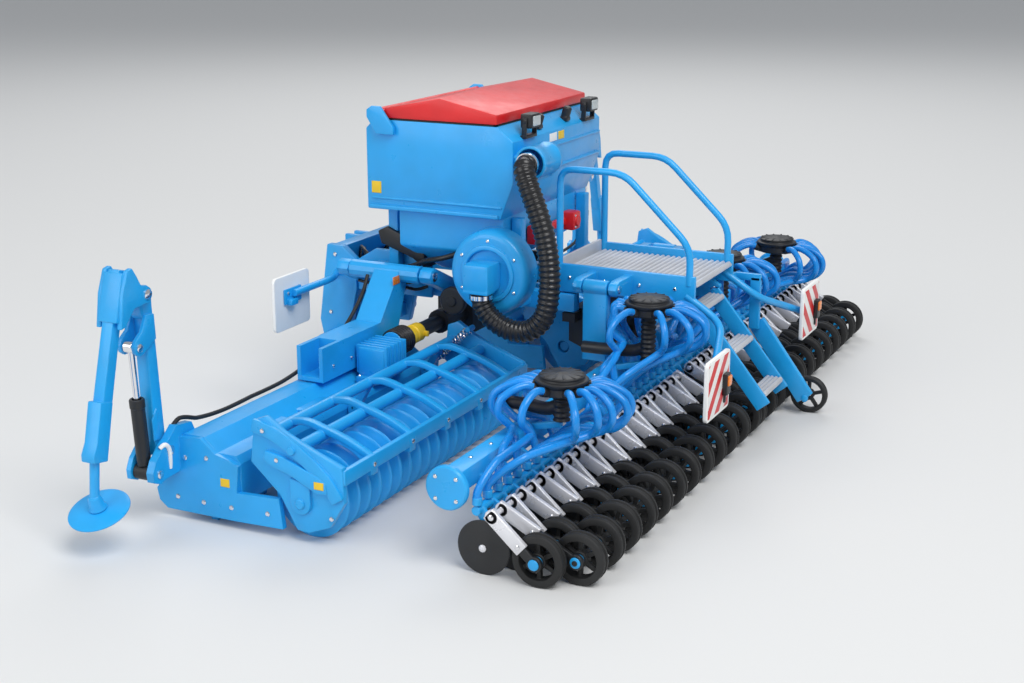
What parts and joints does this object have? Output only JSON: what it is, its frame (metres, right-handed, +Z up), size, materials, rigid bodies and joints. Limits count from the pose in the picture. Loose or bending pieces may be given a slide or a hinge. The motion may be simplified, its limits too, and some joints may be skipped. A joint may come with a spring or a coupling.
{
  "type": "seed drill scale model",
  "caption": "Toy-size scale model of a folding mounted seed drill: hopper with fan and hose, harrow wings with packer rollers, coulter bars, platform and row markers.",
  "frame": {"origin": "bottom centre of the overall box, on the ground the model stands on", "axes": "+X to the machine's left, -Y to the front where the tractor would be, +Z up"},
  "size_m": [0.2364, 0.1124, 0.0717],
  "materials": {
    "blue_paint": "semi-gloss",
    "red_paint": "semi-gloss",
    "black_plastic": "satin",
    "black_rubber": "matte",
    "grey_tread": "satin",
    "silver_paint": "satin",
    "bright_steel": "polished",
    "yellow_plastic": "satin",
    "white_board": "satin",
    "blue_hose": "satin"
  },
  "bodies": {
    "centre": {"centre_frame": "blue_paint", "hopper": "blue_paint", "fan_housing": "blue_paint", "fan_hose": "black_rubber", "air_intake": "blue_paint", "metering_covers": "red_paint", "front_board_left": "white_board", "front_board_right": "white_board", "rear_board_left": "white_board", "rear_board_right": "white_board", "platform_deck": "grey_tread", "platform_frame": "blue_paint", "link_frame": "black_plastic", "centre_drive": "black_plastic"},
    "lid": {"hopper_lid": "red_paint"},
    "ladder": {"ladder": "blue_paint"},
    "wheel_arm": {"wheel_arm": "blue_paint"},
    "ground_wheel": {"ground_wheel": "black_rubber"},
    "wing_left": {"wing_arm_left": "blue_paint", "harrow_trough_left": "blue_paint", "harrow_tines_left": "blue_paint", "gearbox_left": "blue_paint", "drive_shaft_left": "yellow_plastic", "roller_frame_left": "blue_paint"},
    "roller_left": {"packer_roller_left": "blue_paint"},
    "marker_left": {"marker_arm_left": "blue_paint"},
    "marker_outer_left": {"marker_outer_arm_left": "blue_paint"},
    "marker_disc_left": {"marker_disc_left": "blue_paint"},
    "marker_barrel_left": {"marker_barrel_left": "black_plastic"},
    "marker_rod_left": {"marker_rod_left": "bright_steel"},
    "seed_wing_left": {"seed_bar_left": "blue_paint", "coulters_left": "black_plastic", "press_arms_left": "silver_paint", "distributor_inner_left": "black_plastic", "distributor_outer_left": "black_plastic", "seed_hoses_inner_left": "blue_hose", "seed_hoses_outer_left": "blue_hose"},
    "press_front_left": {"press_wheels_front_left": "black_rubber"},
    "press_rear_left": {"press_wheels_rear_left": "black_rubber"},
    "wing_right": {"wing_arm_right": "blue_paint", "harrow_trough_right": "blue_paint", "harrow_tines_right": "blue_paint", "gearbox_right": "blue_paint", "drive_shaft_right": "yellow_plastic", "roller_frame_right": "blue_paint"},
    "roller_right": {"packer_roller_right": "blue_paint"},
    "marker_right": {"marker_arm_right": "blue_paint"},
    "marker_outer_right": {"marker_outer_arm_right": "blue_paint"},
    "marker_disc_right": {"marker_disc_right": "blue_paint"},
    "marker_barrel_right": {"marker_barrel_right": "black_plastic"},
    "marker_rod_right": {"marker_rod_right": "bright_steel"},
    "seed_wing_right": {"seed_bar_right": "blue_paint", "coulters_right": "black_plastic", "press_arms_right": "silver_paint", "distributor_inner_right": "black_plastic", "distributor_outer_right": "black_plastic", "seed_hoses_inner_right": "blue_hose", "seed_hoses_outer_right": "blue_hose"},
    "press_front_right": {"press_wheels_front_right": "black_rubber"},
    "press_rear_right": {"press_wheels_rear_right": "black_rubber"}
  },
  "joints": [
    {"name": "lid_hinge", "type": "hinge", "parent": "centre", "child": "lid", "pos_m": [0, -0.034, 0.068], "axis": [1, 0, 0], "range_deg": [0, 75]},
    {"name": "ladder_hinge", "type": "hinge", "parent": "centre", "child": "ladder", "pos_m": [0, 0.0328, 0.029], "axis": [1, 0, 0], "range_deg": [0, 90]},
    {"name": "wheel_arm_hinge", "type": "hinge", "parent": "centre", "child": "wheel_arm", "pos_m": [-0.0169, 0.0399, 0.0205], "axis": [1, 0, 0], "range_deg": [0, 35]},
    {"name": "ground_wheel_spin", "type": "hinge", "parent": "wheel_arm", "child": "ground_wheel", "pos_m": [-0.02, 0.052, 0.0042], "axis": [1, 0, 0], "continuous": true},
    {"name": "wing_left_fold", "type": "hinge", "parent": "centre", "child": "wing_left", "pos_m": [0.023, -0.0326, 0.033], "axis": [0, -1, 0], "range_deg": [0, 90]},
    {"name": "roller_left_spin", "type": "hinge", "parent": "wing_left", "child": "roller_left", "pos_m": [0.018, -0.0089, 0.0078], "axis": [1, 0, 0], "continuous": true},
    {"name": "marker_left_swing", "type": "hinge", "parent": "wing_left", "child": "marker_left", "pos_m": [0.0966, -0.039, 0.0144], "axis": [0, 1, 0], "range_deg": [0, 80]},
    {"name": "marker_left_knee", "type": "hinge", "parent": "marker_left", "child": "marker_outer_left", "pos_m": [0.0993, -0.039, 0.0444], "axis": [0, -1, 0], "range_deg": [0, 131]},
    {"name": "marker_left_disc_spin", "type": "hinge", "parent": "marker_outer_left", "child": "marker_disc_left", "pos_m": [0.1128, -0.039, 0.0079], "axis": [0.3616, 0, 0.9323], "continuous": true},
    {"name": "marker_left_ram_tilt", "type": "hinge", "parent": "wing_left", "child": "marker_barrel_left", "pos_m": [0.0999, -0.039, 0.0108], "axis": [0, 1, 0], "range_deg": [0, 76]},
    {"name": "marker_left_ram_stroke", "type": "slide", "parent": "marker_barrel_left", "child": "marker_rod_left", "axis": [0.0701, 0, 0.9975], "range_m": [-0.00622, 0]},
    {"name": "seed_wing_left_fold", "type": "hinge", "parent": "centre", "child": "seed_wing_left", "pos_m": [0.02, 0.0164, 0.034], "axis": [0, -1, 0], "range_deg": [0, 90]},
    {"name": "press_front_left_spin", "type": "hinge", "parent": "seed_wing_left", "child": "press_front_left", "pos_m": [0.018, 0.0369, 0.0047], "axis": [1, 0, 0], "continuous": true},
    {"name": "press_rear_left_spin", "type": "hinge", "parent": "seed_wing_left", "child": "press_rear_left", "pos_m": [0.018, 0.0428, 0.0047], "axis": [1, 0, 0], "continuous": true},
    {"name": "wing_right_fold", "type": "hinge", "parent": "centre", "child": "wing_right", "pos_m": [-0.023, -0.0326, 0.033], "axis": [0, 1, 0], "range_deg": [0, 90]},
    {"name": "roller_right_spin", "type": "hinge", "parent": "wing_right", "child": "roller_right", "pos_m": [-0.018, -0.0089, 0.0078], "axis": [1, 0, 0], "continuous": true},
    {"name": "marker_right_swing", "type": "hinge", "parent": "wing_right", "child": "marker_right", "pos_m": [-0.0966, -0.039, 0.0144], "axis": [0, -1, 0], "range_deg": [0, 80]},
    {"name": "marker_right_knee", "type": "hinge", "parent": "marker_right", "child": "marker_outer_right", "pos_m": [-0.0993, -0.039, 0.0444], "axis": [0, 1, 0], "range_deg": [0, 131]},
    {"name": "marker_right_disc_spin", "type": "hinge", "parent": "marker_outer_right", "child": "marker_disc_right", "pos_m": [-0.1128, -0.039, 0.0079], "axis": [-0.3616, 0, 0.9323], "continuous": true},
    {"name": "marker_right_ram_tilt", "type": "hinge", "parent": "wing_right", "child": "marker_barrel_right", "pos_m": [-0.0999, -0.039, 0.0108], "axis": [0, -1, 0], "range_deg": [0, 76]},
    {"name": "marker_right_ram_stroke", "type": "slide", "parent": "marker_barrel_right", "child": "marker_rod_right", "axis": [-0.0701, 0, 0.9975], "range_m": [-0.00622, 0]},
    {"name": "seed_wing_right_fold", "type": "hinge", "parent": "centre", "child": "seed_wing_right", "pos_m": [-0.02, 0.0164, 0.034], "axis": [0, 1, 0], "range_deg": [0, 90]},
    {"name": "press_front_right_spin", "type": "hinge", "parent": "seed_wing_right", "child": "press_front_right", "pos_m": [-0.018, 0.0369, 0.0047], "axis": [1, 0, 0], "continuous": true},
    {"name": "press_rear_right_spin", "type": "hinge", "parent": "seed_wing_right", "child": "press_rear_right", "pos_m": [-0.018, 0.0428, 0.0047], "axis": [1, 0, 0], "continuous": true}
  ],
  "couplings": [
    {"joint": "marker_left_knee", "follows": "marker_left_swing", "ratio": 1.625},
    {"joint": "marker_left_ram_tilt", "follows": "marker_left_swing", "ratio": 0.9478},
    {"joint": "marker_left_ram_stroke", "follows": "marker_left_swing", "m_per_rad": -0.004449},
    {"joint": "marker_right_knee", "follows": "marker_right_swing", "ratio": 1.625},
    {"joint": "marker_right_ram_tilt", "follows": "marker_right_swing", "ratio": 0.9478},
    {"joint": "marker_right_ram_stroke", "follows": "marker_right_swing", "m_per_rad": -0.004449}
  ]
}
